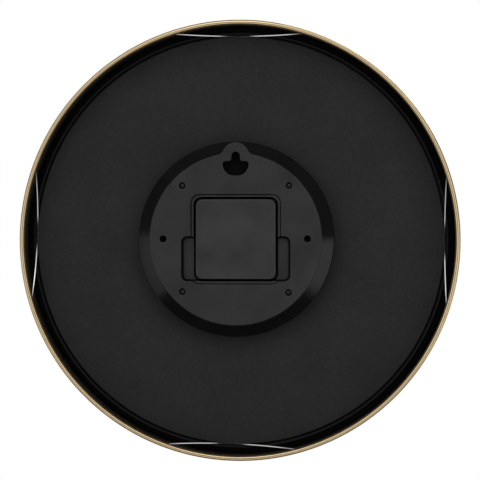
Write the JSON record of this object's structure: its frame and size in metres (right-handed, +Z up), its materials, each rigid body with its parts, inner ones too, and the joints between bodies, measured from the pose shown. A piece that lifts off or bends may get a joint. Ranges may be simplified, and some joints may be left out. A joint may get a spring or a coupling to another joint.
{
  "type": "round wall clock",
  "caption": "Round quartz wall clock seen mainly from its back: gold metal drum, recessed board, round rear housing with hanging keyhole, battery movement, gear train, dial and hands.",
  "frame": {"origin": "on the hand arbor, half way through the depth: the centre of the drum's bounding box", "axes": "+Y from the dial to the wall along the arbor, +Z up as the clock hangs, +X to the right as seen from the front"},
  "size_m": [0.305, 0.04, 0.305],
  "materials": {
    "gold_rim": "champagne gold satin lacquer, black paint inside the drum",
    "lens_glass": "clear float glass",
    "ring_plastic": "moulded black, semi-matte",
    "dial_card": "matte black printed face",
    "board_hardboard": "dyed hardboard, rear face charcoal and lightly mottled",
    "housing_plastic": "moulded black polystyrene with a fine spark texture",
    "movement_plastic": "moulded black",
    "brass_parts": "machined, slightly tarnished",
    "stator_steel": "punched magnetic steel",
    "coil_copper": "varnished copper wire winding",
    "circuit_laminate": "green solder mask",
    "nickel_steel": "nickel plated",
    "rotor_steel": "ground magnet on a steel arbor",
    "gear_plastic": "natural acetal",
    "battery_shell": "printed steel can, plain bands",
    "washer_rubber": "matte",
    "gold_hands": "brushed champagne gold",
    "spring_steel": "bright rolled spring steel",
    "screw_steel": "black oxide"
  },
  "bodies": {
    "case": {"case_rim": "gold_rim", "front_lens": "lens_glass", "inner_ring": "ring_plastic", "dial_plate": "dial_card", "backing_board": "board_hardboard", "retaining_strip_top": "spring_steel", "retaining_strip_right": "spring_steel", "retaining_strip_bottom": "spring_steel", "retaining_strip_left": "spring_steel", "hour_marker_1": "gold_hands", "hour_marker_2": "gold_hands", "hour_marker_3": "gold_hands", "hour_marker_4": "gold_hands", "hour_marker_5": "gold_hands", "hour_marker_6": "gold_hands", "hour_marker_7": "gold_hands", "hour_marker_8": "gold_hands", "hour_marker_9": "gold_hands", "hour_marker_10": "gold_hands", "hour_marker_11": "gold_hands", "hour_marker_12": "gold_hands", "back_housing": "housing_plastic", "housing_screw_1": "screw_steel", "housing_screw_2": "screw_steel", "housing_screw_3": "screw_steel", "housing_screw_4": "screw_steel", "anchor_screw_right": "screw_steel", "anchor_screw_left": "screw_steel", "movement_plate": "movement_plastic", "movement_case": "movement_plastic", "gear_bridge": "brass_parts", "stator": "stator_steel", "coil": "coil_copper", "circuit_board": "circuit_laminate", "quartz_crystal": "nickel_steel", "contact_positive": "nickel_steel", "contact_negative": "nickel_steel", "dial_washer": "washer_rubber", "mounting_nut": "brass_parts"},
    "seconds": {"second_wheel": "gear_plastic", "second_hand": "gold_hands"},
    "minutes": {"centre_wheel": "brass_parts", "minute_hand": "gold_hands", "hand_nut": "brass_parts"},
    "hours": {"hour_wheel": "brass_parts", "hour_hand": "gold_hands"},
    "motor_rotor": {"rotor": "rotor_steel"},
    "intermediate_gear": {"intermediate_wheel": "gear_plastic"},
    "third_gear": {"third_wheel": "gear_plastic"},
    "motion_gear": {"motion_wheel": "gear_plastic"},
    "hand_setter": {"setting_knob": "gear_plastic"},
    "cell": {"battery": "battery_shell"},
    "cover": {"battery_cover": "housing_plastic"}
  },
  "joints": [
    {"name": "second_hand_turn", "type": "hinge", "parent": "case", "child": "seconds", "pos_m": [0, 0, 0], "axis": [0, 1, 0], "continuous": true},
    {"name": "minute_hand_turn", "type": "hinge", "parent": "case", "child": "minutes", "pos_m": [0, 0, 0], "axis": [0, 1, 0], "continuous": true},
    {"name": "hour_hand_turn", "type": "hinge", "parent": "case", "child": "hours", "pos_m": [0, 0, 0], "axis": [0, 1, 0], "continuous": true},
    {"name": "rotor_turn", "type": "hinge", "parent": "case", "child": "motor_rotor", "pos_m": [0.00846, 0, 0.00917], "axis": [0, 1, 0], "continuous": true},
    {"name": "intermediate_wheel_turn", "type": "hinge", "parent": "case", "child": "intermediate_gear", "pos_m": [0.00531, 0, 0.00372], "axis": [0, 1, 0], "continuous": true},
    {"name": "third_wheel_turn", "type": "hinge", "parent": "case", "child": "third_gear", "pos_m": [-0.00702, 0, 0.00405], "axis": [0, 1, 0], "continuous": true},
    {"name": "motion_wheel_turn", "type": "hinge", "parent": "case", "child": "motion_gear", "pos_m": [-0.00601, 0, -0.00219], "axis": [0, 1, 0], "continuous": true},
    {"name": "setting_knob_turn", "type": "hinge", "parent": "case", "child": "hand_setter", "pos_m": [-0.01203, 0, -0.00438], "axis": [0, 1, 0], "continuous": true},
    {"name": "battery_lift_out", "type": "slide", "parent": "case", "child": "cell", "axis": [0, 1, 0], "range_m": [0, 0.02]},
    {"name": "battery_cover_pull_off", "type": "slide", "parent": "case", "child": "cover", "axis": [0, 1, 0], "range_m": [0, 0.05]}
  ],
  "couplings": [
    {"joint": "minute_hand_turn", "follows": "second_hand_turn", "ratio": 0.016667},
    {"joint": "hour_hand_turn", "follows": "second_hand_turn", "ratio": 0.0013889},
    {"joint": "rotor_turn", "follows": "second_hand_turn", "ratio": 30},
    {"joint": "intermediate_wheel_turn", "follows": "second_hand_turn", "ratio": -5},
    {"joint": "third_wheel_turn", "follows": "second_hand_turn", "ratio": -0.13333},
    {"joint": "motion_wheel_turn", "follows": "second_hand_turn", "ratio": -0.0055556},
    {"joint": "setting_knob_turn", "follows": "second_hand_turn", "ratio": 0.016667},
    {"joint": "battery_cover_pull_off", "follows": "battery_lift_out", "ratio": 2}
  ]
}
